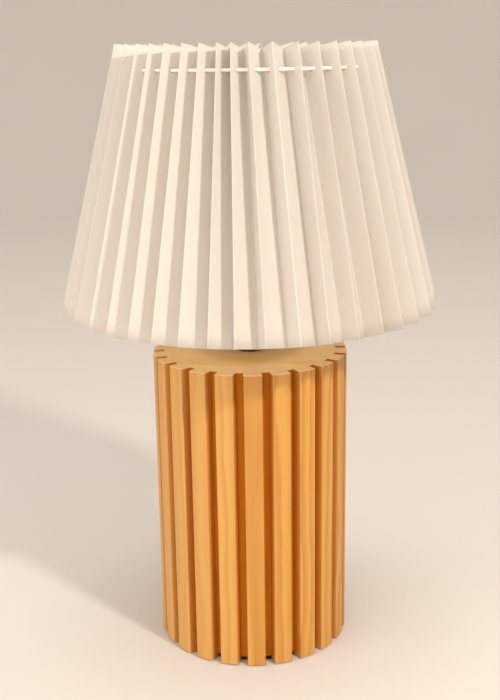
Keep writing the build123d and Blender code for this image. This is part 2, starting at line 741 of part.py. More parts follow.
for ring_name, ring_circle, ring_height in (("bottom_ring", bottom_ring_circle, bottom_ring_height),
                                            ("top_ring", top_ring_circle, top_ring_height)):
    with BuildPart() as wire_ring:
        with Locations((0, 0, ring_height)):
            Torus(ring_circle, ring_wire_radius)
    finish(wire_ring, ring_name)


def cut_ring_seats():
    """Shape a wire's ends to the rings that it is welded to."""
    with Locations((0, 0, bottom_ring_height)):
        Torus(bottom_ring_circle, ring_wire_radius + weld_gap, mode=Mode.SUBTRACT)
    with Locations((0, 0, top_ring_height)):
        Torus(top_ring_circle, ring_wire_radius + weld_gap, mode=Mode.SUBTRACT)


for index in range(strut_count):
    strut_valley = round(index * pleat_count / strut_count)      # each strut lies behind a valley
    strut_angle = rear_valley_angle + strut_valley * pleat_pitch
    low_plane = turned_plane(strut_angle, bottom_ring_height)
    high_plane = turned_plane(strut_angle, top_ring_height)
    low_end = low_plane.origin + low_plane.x_dir * bottom_ring_circle
    high_end = high_plane.origin + high_plane.x_dir * top_ring_circle
    with BuildPart() as strut:
        with BuildSketch(Plane(origin=low_end, z_dir=high_end - low_end)):
            Circle(strut_wire_radius)
        extrude(amount=(high_end - low_end).length)
        cut_ring_seats()
    finish(strut, f"strut_{index + 1}")

for index in range(strut_count):
    spoke_angle = math.radians(spoke_first_angle + index * 360 / strut_count)
    outwards = Vector(math.cos(spoke_angle), math.sin(spoke_angle), 0)
    with BuildPart() as spoke:
        with BuildSketch(Plane(origin=outwards * spoke_start + Vector(0, 0, bottom_ring_height),
                               z_dir=outwards)):
            Circle(spoke_wire_radius)
        extrude(amount=bottom_ring_circle - spoke_start)
        cut_ring_seats()
    finish(spoke, f"spoke_{index + 1}")

fitter_plate = round_ring(fitter_radius, fitter_hole_radius, fitter_bottom, fitter_thickness)
finish(fitter_plate, "fitter_plate")

with BuildPart() as shade_ring:
    ring_bottom = fitter_top + shade_ring_seat_gap
    with BuildSketch(Plane.XY.offset(ring_bottom)):
        Circle(shade_ring_radius)
        Circle(shade_ring_bore, mode=Mode.SUBTRACT)
        with PolarLocations(shade_ring_radius + shade_ring_grip_radius / 2, shade_ring_grips):
            Circle(shade_ring_grip_radius, mode=Mode.SUBTRACT)
    extrude(amount=shade_ring_height)
    chamfer(shade_ring.faces().sort_by(Axis.Z)[-1].outer_wire().edges(), shade_ring_bevel)
finish(shade_ring, "shade_ring")

print("nodes", len(parts))
print("heights: fitter", round(fitter_bottom, 2), "bottom ring", round(bottom_ring_height, 2),
      "barrel", round(barrel_top, 2),
      "bulb", round(bulb_bottom, 2), "to", round(bulb_bottom + bulb_length, 2))
print("rings", round(bottom_ring_circle, 2), round(top_ring_circle, 2))
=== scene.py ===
"""Looks of the pleated paper table lamp: its finishes, the folded paper, the drawstring and the studio.

Metres, +Z up, with the lamp standing on the floor at the origin and its front towards -Y.
"""
import math

import bpy
from mathutils import Matrix, Vector


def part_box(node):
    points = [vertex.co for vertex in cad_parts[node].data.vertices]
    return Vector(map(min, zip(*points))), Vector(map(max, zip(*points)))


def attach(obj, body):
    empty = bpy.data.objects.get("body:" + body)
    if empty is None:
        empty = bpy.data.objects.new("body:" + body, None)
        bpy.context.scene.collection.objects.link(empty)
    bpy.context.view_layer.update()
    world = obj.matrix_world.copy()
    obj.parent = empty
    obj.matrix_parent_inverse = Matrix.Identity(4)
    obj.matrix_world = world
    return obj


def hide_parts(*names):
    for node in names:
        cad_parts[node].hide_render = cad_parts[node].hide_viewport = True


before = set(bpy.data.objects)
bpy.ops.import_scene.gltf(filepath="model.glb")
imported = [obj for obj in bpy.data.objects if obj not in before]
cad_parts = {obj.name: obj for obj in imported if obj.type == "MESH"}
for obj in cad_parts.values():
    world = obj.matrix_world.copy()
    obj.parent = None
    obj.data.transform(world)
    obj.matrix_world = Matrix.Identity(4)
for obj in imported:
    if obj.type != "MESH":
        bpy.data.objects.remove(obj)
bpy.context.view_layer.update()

bl_info = {
    "name": "Pleated Paper Table Lamp",
    "version": (1, 0, 0),
    "blender": (4, 5, 0),
    "location": "3D View > Sidebar > Lamp",
    "description": "Folds the paper shade, threads its drawstring, finishes every part and lights the lamp",
    "category": "Add Mesh",
}

MM = 0.001
SHADE_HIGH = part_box("pleated_shade")[1]
SLATS = sorted(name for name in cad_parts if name.startswith("slat_"))
SLAT_LOW, SLAT_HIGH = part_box("slat_01")
SLAT_FACE = -SLAT_LOW.y         # the slats' outer faces, from the lamp's axis

# Pine: where each board's pith lies, and how its rings run.
PITH_SIDE = 50 * MM             # how much its place varies sideways
PITH_DEPTH = 20 * MM            # least depth below the board's face
PITH_DEPTH_RANGE = 40 * MM      # how much its depth varies
PITH_SLANT = 0.06               # how much its slant varies
RING_WANDER_SIDE = 14 * MM
RING_WANDER_DEPTH = 10 * MM
RING_START_RANGE = 7.0          # in rings: how much the first ring varies
LATE_START, LATE_FULL, LATE_END = 0.15, 0.85, 0.86      # shares of a ring, in which it darkens
SLAT_RINGS, CORE_RINGS, DISC_RINGS = 6.5 * MM, 8.0 * MM, 9.0 * MM
CORE_BOARD, DISC_BOARD = 5.0, 3.0
DISC_TURN = math.radians(12)    # the top disc's grain
PAINTED_LIGHT_SIDE = math.radians(150)  # the middle of the slats painted paler as painted light from the left, clockwise from +X as seen from above
END_FADE = (0.5 * MM, 0.2 * MM) # how far below the top a board's side gives way to its end or face
GROOVE_SHADE_FADE = (5 * MM, 0.3 * MM)  # how far behind its face a slat has the grooves' darker colour, painted groove shade, and has its own

# Paper, cord and plain finishes.
FOLD_WEAR = 1.1 * MM            # worn paper at a fold, across both of its sides
BRAID_STEP = 1.1 * MM           # one turn of the cord's strands
BRAID_STRANDS = 4
CLOUD_SIZE = 25.0               # how much wider a finish's clouds are than its fine texture
OUTER_STRAY = 0.6 * MM          # most that an outer fold falls short of its radius
INNER_STRAY = 0.8 * MM          # most that an inner fold falls short of its depth
LOOSE_FROM_STRING = 0.14        # share of the height over which the panels come free of the drawstring
ALMOST = 0.001                  # in panels: keeps a point on a panel's edge with that panel
PANEL_JOIN = 0.0002             # in panels: nearer points of neighbouring panels become one
TO_INNER_FOLD = (0.64, 0.76, 0.86)      # in panels: columns of points between the hole and the fold

# How the hand-gathered pleats stray from even spacing, in degrees: an even turn, swings once and twice
# round the shade as (cosine, sine), and one crowded spot as (depth, its angle, its reach).
CROWDING = {
    "hem": (1.2, ((-0.4, 0.5), (-0.7, -1.6)), (-1.2, 0.0, 12.0)),
    "top": (1.6, ((-1.0, 1.8), (-0.9, -3.2)), (-3.5, 2.0, 16.0)),
}

# Knot and tails of the drawstring.
KNOT_CORD = 0.9 * MM            # radius of the cord where it is pulled tight
KNOT_RADIUS = 1.9 * MM
KNOT_BEHIND = 0.6 * MM          # how far outside the drawstring's ring it sits
KNOT_STEPS, TAIL_STEPS = 60, 24
TAIL_DROP, TAIL_OUT, TAIL_BACK = 15.5 * MM, 4.2 * MM, 0.8 * MM
TAIL_START, TAIL_SPREAD, TAIL_WAVE = 1.2 * MM, 1.6 * MM, 0.5 * MM
CORD_SIDES = 12
UPRIGHT = 0.1                   # a cord that is nearer to upright than this gets another side direction

LAMP_MIDDLE = Vector((0, 0, 0.26))      # what the lights shine at


# ---------------------------- sizes and colours
def length(label, text, value):
    """A size in metres."""
    return bpy.props.FloatProperty(name=label, description=text, default=value, unit="LENGTH", precision=4)


def angle(label, text, degrees):
    """An angle, given in degrees."""
    return bpy.props.FloatProperty(name=label, description=text, default=math.radians(degrees),
                                   subtype="ANGLE")


def number(label, text, value):
    """A plain number."""
    return bpy.props.FloatProperty(name=label, description=text, default=value)


def count(label, text, value):
    """A whole number."""
    return bpy.props.IntProperty(name=label, description=text, default=value, min=1)


def tint(label, text, value):
    """A colour, in linear red, green and blue."""
    return bpy.props.FloatVectorProperty(name=label, description=text, default=value, subtype="COLOR",
                                         size=3, min=0, max=1)


class LampShadeSizes(bpy.types.PropertyGroup):
    """Sizes of the folded paper and its drawstring."""
    pleats: count("Pleats", "Outer folds round the shade", 42)
    panel_width: length("Panel width", "Outer fold to inner fold along the paper", 18.2 * MM)
    strip_width: length("Strip width", "Width of the paper strip, hem to top edge", 171.0 * MM)
    thickness: length("Paper thickness", "Thickness of the paper", 0.2 * MM)
    hem_radius: length("Hem radius", "Outer folds at the hem", SHADE_HIGH.x)
    top_radius: length("Top radius", "Outer folds at the top edge", 83.0 * MM)
    hem_fold_radius: length("Hem valley radius", "Inner folds at the hem", 108.47 * MM)
    top_fold_radius: length("Top valley radius", "Inner folds at the top edge", 66.17 * MM)
    hem_shallow: length("Hem shallower", "How much shallower the spread pleats are at the hem", 1.6 * MM)
    top_shallow: length("Top shallower", "How much shallower the spread pleats are at the top", 2.0 * MM)
    shallow_angle: angle("Shallow angle", "Where the pleats are spread, from the front towards +X", 38.0)
    hem_lean: angle("Hem lean", "How far the inner folds lie past the middle at the hem", 2.6)
    top_lean: angle("Top lean", "How far the inner folds lie past the middle at the top", 2.0)
    hem_height: length("Hem height", "Outer folds' lower ends", 235.0 * MM)
    top_height: length("Top height", "Outer folds' upper ends", SHADE_HIGH.z)
    hem_fold_height: length("Hem valley height", "Inner folds' lower ends", 231.16 * MM)
    top_fold_height: length("Top valley height", "Inner folds' upper ends", 396.84 * MM)
    crease_width: length("Crease width", "Paper on each side of a fold that rounds it", 0.7 * MM)
    crease_pull: length("Crease pull", "How far an outer fold falls short of a sharp one", 0.35 * MM)
    valley_pull: length("Valley pull", "How far an inner fold falls short of a sharp one", 1.0 * MM)
    bow: length("Panel bow", "Most that one panel curves more or less than another", 0.5 * MM)
    sag: length("Panel sag", "How far the panels curve inwards below the drawstring", 0.3 * MM)
    seam_angle: angle("Seam angle", "Where the strip's ends overlap, from the front towards +X", 60.0)
    seam_lap: length("Seam lap", "Gap between the two papers at the glued seam", 0.35 * MM)
    seam_gape: length("Seam gape", "How far the glued seam stands open at the hem", 1.7 * MM)
    hem_scatter: angle("Hem scatter", "Unevenness of the folds at the hem", 0.5)
    top_scatter: angle("Top scatter", "Unevenness of the folds at the top edge", 0.8)
    hole_radius: length("Hole radius", "Punched hole for the drawstring", 1.4 * MM)
    string_radius: length("String radius", "Drawstring's radius", 1.0 * MM)
    string_circle: length("String circle", "Radius of the drawstring's ring", 79.48 * MM)
    string_height: length("String height", "Height of the drawstring's ring", 385.7 * MM)
    seed: count("Seed", "Changes the unevenness of the folds", 5)


# The sizes that the folding tree takes as its inputs.
FOLD_SIZES = ("pleats", "panel_width", "strip_width", "hem_radius", "top_radius", "hem_fold_radius",
              "top_fold_radius", "hem_shallow", "top_shallow", "shallow_angle", "hem_lean", "top_lean",
              "hem_height", "top_height", "hem_fold_height", "top_fold_height", "crease_pull",
              "valley_pull", "bow", "sag", "seam_angle", "seam_lap", "seam_gape", "hem_scatter",
              "top_scatter")


class LampColours(bpy.types.PropertyGroup):
    """Colours of the finishes."""
    paper: tint("Paper", "Shade paper", (0.92, 0.885, 0.835))
    string: tint("Drawstring", "Cotton cord", (0.90, 0.88, 0.84))
    pine_pale: tint("Pale pine", "Early wood of the slats", (0.59, 0.298, 0.060))
    pine_dark: tint("Dark pine", "Late wood of the slats", (0.485, 0.19, 0.024))
    # Not sapwood but painted light: the paler colour given to the slats on the -X side.
    pine_painted_light: tint("Sapwood", "Whiter boards on the -X side", (0.64, 0.34, 0.095))
    # The disc's colours are its own pale wood made paler still, painted light for the light that falls on it
    # under the shade.
    disc_pale: tint("Pale disc", "Early wood of the top disc", (0.99, 0.68, 0.32))
    disc_dark: tint("Dark disc", "Late wood of the top disc", (0.92, 0.54, 0.19))
    # Partly the drum's own oiled wood, partly painted shade: made darker and more saturated to stand for the
    # shade deep in the grooves.
    core: tint("Core wood", "Wood at the bottom of the grooves", (0.52, 0.16, 0.003))
    wire: tint("Wire", "White lacquer on the wire frame", (0.82, 0.81, 0.78))


class LampStageSizes(bpy.types.PropertyGroup):
    """Camera and lights."""
    camera_back: length("Camera back", "Camera's distance in front of the lamp's axis", 721.8 * MM)
    camera_height: length("Camera height", "Camera's height above the floor", 398.5 * MM)
    camera_pitch: angle("Camera pitch", "How far the camera looks down", 15.32)
    camera_roll: angle("Camera roll", "Turn of the camera about its own axis", -0.85)
    camera_side: angle("Camera side", "Camera's place round the lamp, from the front towards -X", 1.3)
    focal: number("Focal length", "Lens, in millimetres on a 36 mm sensor", 57.06)
    key_angle: angle("Key angle", "Key light, from the front towards +X", 39.5)
    key_rise: angle("Key rise", "Key light's height over the horizon", 34.0)
    key_power: number("Key power", "Key light, in watts", 17.5)
    fill_power: number("Fill power", "Soft light from the left, in watts", 8.0)
    top_power: number("Top power", "Soft light from above, in watts", 5.0)
    front_power: number("Front power", "Soft light over the camera, in watts", 10.5)
    room_power: number("Room power", "Strength of the light from all round", 0.86)
    room: tint("Room", "Colour of the light from all round", (0.95, 0.84, 0.75))
    floor: tint("Floor", "Plain pale floor", (0.70, 0.675, 0.635))


# ---------------------------- node trees
class Wire:
    """A value that runs through a node tree. Sums and products of it add the nodes that they need."""

    def __init__(self, bench, socket):
        self.bench = bench
        self.socket = socket

    def out(self, name):
        """Another output of the same node."""
        return Wire(self.bench, self.socket.node.outputs[name])

    def math(self, operation, *others):
        """This value, worked on by a Math node."""
        return self.bench.math(operation, self, *others)

    def __add__(self, other):
        return self.bench.math("ADD", self, other)

    def __radd__(self, other):
        return self.bench.math("ADD", other, self)

    def __sub__(self, other):
        return self.bench.math("SUBTRACT", self, other)

    def __rsub__(self, other):
        return self.bench.math("SUBTRACT", other, self)

    def __mul__(self, other):
        return self.bench.math("MULTIPLY", self, other)

    def __rmul__(self, other):
        return self.bench.math("MULTIPLY", other, self)

    def __truediv__(self, other):
        return self.bench.math("DIVIDE", self, other)

    def __rtruediv__(self, other):
        return self.bench.math("DIVIDE", other, self)


def opaque(colour):
    """A colour as a socket takes it."""
    return colour if isinstance(colour, Wire) else (*colour, 1)


class Bench:
    """Adds nodes to a material's tree or a geometry tree."""

    def __init__(self, tree):
        self.tree = tree

    def add(self, kind, inputs, output=0, **settings):
        """A node of that kind: its settings first, then the values or links of its sockets."""
        node = self.tree.nodes.new(kind)
        for name, value in settings.items():
            setattr(node, name, value)
        for key, value in inputs.items():
            if isinstance(value, Wire):
                self.tree.links.new(value.socket, node.inputs[key])
            else:
                node.inputs[key].default_value = value
        return Wire(self, node.outputs[output]) if node.outputs else None

    def math(self, operation, *values):
        """A Math node's result."""
        return self.add("ShaderNodeMath", dict(enumerate(values)), operation=operation)

    def vector(self, operation, *values):
        """A Vector Math node's result."""
        return self.add("ShaderNodeVectorMath", dict(enumerate(values)), operation=operation)

    def scaled(self, vector, amount):
        """A vector or colour times a number."""
        return self.add("ShaderNodeVectorMath", {0: vector, "Scale": amount}, operation="SCALE")

    def mix(self, share, a, b):
        """A colour between two colours."""
        return self.add("ShaderNodeMix", {0: share, 6: opaque(a), 7: opaque(b)}, output=2, data_type="RGBA")

    def between(self, share, a, b):
        """A vector between two vectors."""
        return self.add("ShaderNodeMix", {0: share, 4: a, 5: b}, output=1, data_type="VECTOR")

    def place(self, x, y, z):
        """A vector from three numbers."""
        return self.add("ShaderNodeCombineXYZ", {0: x, 1: y, 2: z})

    def parts(self, vector):
        """A vector's three numbers."""
        split = self.add("ShaderNodeSeparateXYZ", {0: vector})
        return split, split.out(1), split.out(2)

    def span(self, value, low, high, to_low=0.0, to_high=1.0, smooth=False):
        """The value's range low to high, stretched to another range and kept in it."""
        kind = "SMOOTHSTEP" if smooth else "LINEAR"
        return self.add("ShaderNodeMapRange", {0: value, 1: low, 2: high, 3: to_low, 4: to_high},
                        interpolation_type=kind)


class Finish(Bench):
    """A material that is being made."""

    def __init__(self, name):
        self.material = bpy.data.materials.new(name)
        self.material.use_nodes = True
        super().__init__(self.material.node_tree)
        self.tree.nodes.clear()

    def spot(self, turn=0.0):
        """The piece's own place, turned about the lamp's axis."""
        place = self.add("ShaderNodeTexCoord", {}).out("Object")
        return self.add("ShaderNodeMapping", {"Vector": place, "Rotation": (0, 0, turn)})

    def strip_parts(self):
        """Length and height on the flat strip, or length and turn round the cord."""
        along, other, _ = self.parts(self.add("ShaderNodeUVMap", {}, uv_map="strip"))
        return along, other

    def noise(self, place, scale, detail=2.0, roughness=0.5):
        """Cloudy noise from 0 to 1."""
        return self.add("ShaderNodeTexNoise", {"Vector": place, "Scale": scale, "Detail": detail,
                                               "Roughness": roughness})

    def bump(self, height, distance, strength=0.5):
        """A normal that follows a height."""
        return self.add("ShaderNodeBump", {"Height": height, "Distance": distance, "Strength": strength})

    def close(self, colour, roughness, normal, translucent=0.0, **sockets):
        """End the material in one shader, with light let through it if asked."""
        base = opaque(colour)
        inputs = {"Base Color": base, "Roughness": roughness, "Normal": normal}
        inputs.update({name.replace("_", " "): value for name, value in sockets.items()})
        surface = self.add("ShaderNodeBsdfPrincipled", inputs)
        if translucent:
            glow = self.add("ShaderNodeBsdfTranslucent", {"Color": base, "Normal": normal})
            surface = self.add("ShaderNodeMixShader", {0: translucent, 1: surface, 2: glow})
        self.add("ShaderNodeOutputMaterial", {"Surface": surface})
        return self.material


# ---------------------------- wood
def darker(colour, share):
    """The same colour with less light."""
    return tuple(channel * share for channel in colour)


def grain(finish, place, board, pale, dark, ring_spacing):
    """Sawn softwood: rings round a pith outside the board, and fibres along it.

    The place is (across, deep, along the board) in metres, and the board's number tells it from others.
    Gives the wood's colour, its height for a bump, and its fibres alone.
    """
    across, deep, run = place

    def drawn_out(fine, lengthwise, step, detail=2.0, roughness=0.5):
        """Noise that is fine across the board and long along it, with another stretch for each board."""
        spot = finish.place(across * fine, deep * fine, run * lengthwise + board * step)
        return finish.noise(spot, 1.0, detail, roughness)

    luck = finish.add("ShaderNodeTexWhiteNoise", {"W": board}, output=1, noise_dimensions="1D")
    side_luck, slant_luck, depth_luck = finish.parts(luck)
    drift = drawn_out(fine=20.0, lengthwise=8.0, step=3.7) - 0.5
    slant = (slant_luck - 0.5) * PITH_SLANT
    pith_side = (side_luck - 0.5) * PITH_SIDE + run * slant + drift * RING_WANDER_SIDE
    pith_depth = PITH_DEPTH + depth_luck * PITH_DEPTH_RANGE + drift * RING_WANDER_DEPTH
    off_side = across - pith_side
    off_depth = deep + pith_depth
    radius = (off_side * off_side + off_depth * off_depth).math("SQRT")
    phase = (radius / ring_spacing + slant_luck * RING_START_RANGE).math("FRACT")
    late = finish.span(phase, LATE_START, LATE_FULL, smooth=True) * finish.span(phase, 1.0, LATE_END)
    fibre = drawn_out(fine=1500.0, lengthwise=22.0, step=1.0, roughness=0.6)
    streak = drawn_out(fine=260.0, lengthwise=5.0, step=2.3, detail=3.0, roughness=0.55)
    share = late * 0.75 + finish.span(streak, 0.35, 0.75) * 0.3 - 0.1 + (fibre - 0.5) * 0.2
    wood = finish.mix(share.math("MINIMUM", 1.0).math("MAXIMUM", 0.0), pale, dark)
    wood = finish.scaled(wood, finish.span(depth_luck, 0.0, 1.0, 0.95, 1.01))
    return wood, fibre * 0.5 + late * 0.25, fibre


def on_top(finish, z):
    """1 on the base's flat top, and 0 on what stands below it."""
    return finish.span(z, SLAT_HIGH.z - END_FADE[0], SLAT_HIGH.z - END_FADE[1])


def slat_wood(colours):
    """Planed and oiled pine slats. Each slat has its own board, told by its angle round the base."""
    finish = Finish("planed_pine_slats")
    x, y, z = finish.parts(finish.spot())
    pitch = math.tau / len(SLATS)
    front = math.pi / 2
    board = ((y.math("ARCTAN2", x) + front) / pitch).math("ROUND")
    turn = board * pitch - front
    cosine, sine = turn.math("COSINE"), turn.math("SINE")
    outward = x * cosine + y * sine
    sideways = y * cosine - x * sine
    wood, height, fibre = grain(finish, (sideways, SLAT_HIGH.x - outward, z), board, colours.pine_pale,
                                colours.pine_dark, SLAT_RINGS)
    # Painted light: slats towards the left-front are mixed towards a paler colour, as if more light fell on
    # that side.
    painted_left_light = finish.span((turn + PAINTED_LIGHT_SIDE).math("COSINE"), 0.5, 1.0, 0.0, 0.65)
    wood = finish.mix(painted_left_light, wood, colours.pine_painted_light)
    # Painted shade: behind their faces the slats' sides are mixed towards the grooves' darker colour.
    face = finish.span(outward, SLAT_FACE - GROOVE_SHADE_FADE[0], SLAT_FACE - GROOVE_SHADE_FADE[1], smooth=True)
    wood = finish.mix(face, finish.mix(0.75, wood, colours.core), wood)
    # The slats' tops take the disc's colours, which are partly painted light.
    end = finish.mix(finish.span(height, 0.2, 0.6) * 0.6, colours.disc_pale, colours.disc_dark)
    wood = finish.mix(on_top(finish, z), wood, end)
    gloss = finish.span(fibre, 0.2, 0.8, 0.42, 0.56)
    return finish.close(wood, gloss, finish.bump(height, 0.12 * MM))


def core_wood(colours):
    """The oiled drum that shows between the slats, its colour partly painted groove shade."""
    finish = Finish("oiled_core_timber")
    wood, height, fibre = grain(finish, finish.parts(finish.spot()), CORE_BOARD, colours.core,
                                darker(colours.core, 0.75), CORE_RINGS)
    gloss = finish.span(fibre, 0.2, 0.8, 0.5, 0.65)
    return finish.close(wood, gloss, finish.bump(height, 0.1 * MM), Specular_IOR_Level=0.1)


def disc_wood(colours):
    """The top disc, whose grain runs across the lamp and whose edge has the grooves' colour, darker still, as
    painted groove shade.
    """
    finish = Finish("top_board")
    x, y, z = finish.parts(finish.spot(turn=DISC_TURN))
    wood, height, fibre = grain(finish, (y, z, x), DISC_BOARD, colours.disc_pale, colours.disc_dark,
                                DISC_RINGS)
    # Painted shade: below its top the disc's edge takes the grooves' colour, darker still.
    wood = finish.mix(on_top(finish, z), darker(colours.core, 0.9), wood)
    gloss = finish.span(fibre, 0.2, 0.8, 0.5, 0.62)
    return finish.close(wood, gloss, finish.bump(height, 0.1 * MM), Specular_IOR_Level=0.1)


# ---------------------------- paper and cord
def shade_paper(colours, panel_width):
    """Matt lampshade paper: fibres, soft cockle and wear along the folds, laid on the strip."""
    finish = Finish("pleated_white_paper")
    along, up = finish.strip_parts()
    off_fold = (along / panel_width).math("PINGPONG", 0.5) * (2 * panel_width)
    crease = finish.span(off_fold, 0.0, FOLD_WEAR, 1.0, 0.0, smooth=True)
    flat = finish.place(along, up, 0.0)
    fibres = finish.noise(flat, 2600.0, 4.0, 0.65)
    clouds = finish.noise(flat, 130.0, 3.0)
    cockle = finish.noise(finish.place(along * 90.0, up * 16.0, 0.0), 1.0, 1.0)
    paper = colours.paper
    colour = finish.mix(finish.span(clouds, 0.3, 0.7), darker(paper, 0.97), paper)
    colour = finish.mix(finish.span(fibres, 0.3, 0.75) * 0.5, darker(paper, 0.95), colour)
    worn = tuple(min(1, channel * 1.07) for channel in paper)
    colour = finish.mix(crease * 0.6, colour, worn)
    normal = finish.bump(fibres * 0.1 + cockle, 0.25 * MM, 0.6)
    return finish.close(colour, 0.86, normal, translucent=0.47)


def cotton_cord(colours):
    """Fine braided cotton: two sets of strands that cross round the cord."""
    finish = Finish("braided_white_cord")
    along, around = finish.strip_parts()
    turns, strands = along / BRAID_STEP, around * BRAID_STRANDS
    left_hand = ((turns + strands) * math.tau).math("SINE")
    right_hand = ((turns - strands) * math.tau).math("SINE")
    weave = left_hand.math("MAXIMUM", right_hand)
    # Painted shade: the cord is darker in the gaps between its strands.
    colour = finish.mix(finish.span(weave, -0.6, 0.8), darker(colours.string, 0.82), colours.string)
    return finish.close(colour, 0.7, finish.bump(weave, 0.08 * MM, 0.7))


# ---------------------------- metals, plastics and glass
def plain_finish(name, colour, roughness, speck, depth, fineness, **sockets):
    """A sprayed, plated or moulded surface: fine texture, cloudy gloss and slight wear of tone."""
    finish = Finish(name)
    place = finish.spot()
    fine = finish.noise(place, fineness, 3.0, 0.6)
    clouds = finish.noise(place, fineness / CLOUD_SIZE)
    tone = finish.mix(finish.span(clouds, 0.3, 0.7), darker(colour, 0.92), colour)
    tone = finish.mix(finish.span(fine, 0.35, 0.75) * speck, tone, darker(colour, 0.8))
    gloss = finish.span(fine * 0.6 + clouds * 0.4, 0.3, 0.7, roughness - 0.05, roughness + 0.07)
    return finish.close(tone, gloss, finish.bump(fine, depth), **sockets)


def turned_metal(name, colour, roughness, fineness=900.0):
    """Drawn or turned metal, with fine rings round the lamp's axis."""
    finish = Finish(name)
    place = finish.spot()
    x, y, z = finish.parts(place)
    radius = (x * x + y * y).math("SQRT")
    rings = finish.noise(finish.place(radius * fineness, 0.0, z * fineness), 1.0, 2.0, 0.6)
    stain = finish.noise(place, 60.0, 3.0, 0.6)
    tone = finish.mix(finish.span(stain, 0.35, 0.75) * 0.5, colour, darker(colour, 0.72))
    gloss = finish.span(rings, 0.3, 0.7, roughness - 0.04, roughness + 0.1)
    return finish.close(tone, gloss, finish.bump(rings, 0.02 * MM, 0.4), Metallic=1.0)


def clear_glass(name, colour, roughness):
    """Blown glass, with a faint unevenness."""
    finish = Finish(name)
    wave = finish.noise(finish.spot(), 45.0, 1.0)
    return finish.close(colour, roughness, finish.bump(wave, 0.1 * MM, 0.3), Transmission_Weight=1.0,
                        IOR=1.48)


def dress(material, *names):
    """Give a material to each node."""
    for name in names:
        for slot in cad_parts[name].material_slots:
            slot.material = material


# ---------------------------- making pieces
def new_object(name, mesh):
    """Put a mesh in the scene as an object at the origin."""
    piece = bpy.data.objects.new(name, mesh)
    bpy.context.scene.collection.objects.link(piece)
    return piece


def work_in_modifiers(piece):
    """Make the piece a plain mesh with the shape that its modifiers give it."""
    evaluated = piece.evaluated_get(bpy.context.evaluated_depsgraph_get())
    mesh = bpy.data.meshes.new_from_object(evaluated)
    piece.modifiers.clear()
    old = piece.data
    piece.data = mesh
    bpy.data.meshes.remove(old)
    mesh.name = piece.name


def input_labels(group, keys):
    """The labels of a group's sizes, which name a tree's inputs."""
    return {key: group.bl_rna.properties[key].name for key in keys}


def geometry_tree(name, labels):
    """An empty geometry tree with named number inputs, as (bench, start geometry, wires by key)."""
    tree = bpy.data.node_groups.new(name, "GeometryNodeTree")
    tree.interface.new_socket(name="Geometry", in_out="INPUT", socket_type="NodeSocketGeometry")
    for label in labels.values():
        tree.interface.new_socket(name=label, in_out="INPUT", socket_type="NodeSocketFloat")
    tree.interface.new_socket(name="Geometry", in_out="OUTPUT", socket_type="NodeSocketGeometry")
    bench = Bench(tree)
    start = bench.add("NodeGroupInput", {})
    return bench, start, {key: start.out(label) for key, label in labels.items()}


def close_tree(bench, geometry, material):
    """Realise the geometry, give it its material and send it out."""
    real = bench.add("GeometryNodeRealizeInstances", {0: geometry})
    painted = bench.add("GeometryNodeSetMaterial", {"Geometry": real, "Material": material})
    bench.add("NodeGroupOutput", {0: painted})


def run_tree(piece, bench, labels, sizes):
    """Add the tree to the piece, with its numbers set by socket identifier."""
    modifier = piece.modifiers.new(bench.tree.name, "NODES")
    modifier.node_group = bench.tree
    numbers = {label: float(getattr(sizes, key)) for key, label in labels.items()}
    for item in bench.tree.interface.items_tree:
        if item.in_out == "INPUT" and item.name in numbers:
            modifier[item.identifier] = numbers[item.name]


# ---------------------------- the folded paper
def hole_place(sizes):
    """Where the drawstring crosses a panel, as shares from its outer fold and from its hem."""
    up = (sizes.string_height - sizes.hem_height) / (sizes.top_height - sizes.hem_height)
    outer = sizes.hem_radius + up * (sizes.top_radius - sizes.hem_radius)
    inner = sizes.hem_fold_radius + up * (sizes.top_fold_radius - sizes.hem_fold_radius)
    across = (outer - sizes.string_circle) / (outer - inner)
    low = sizes.hem_height + across * (sizes.hem_fold_height - sizes.hem_height)
    high = sizes.top_height + across * (sizes.top_fold_height - sizes.top_height)
    return across, (sizes.string_height - low) / (high - low)


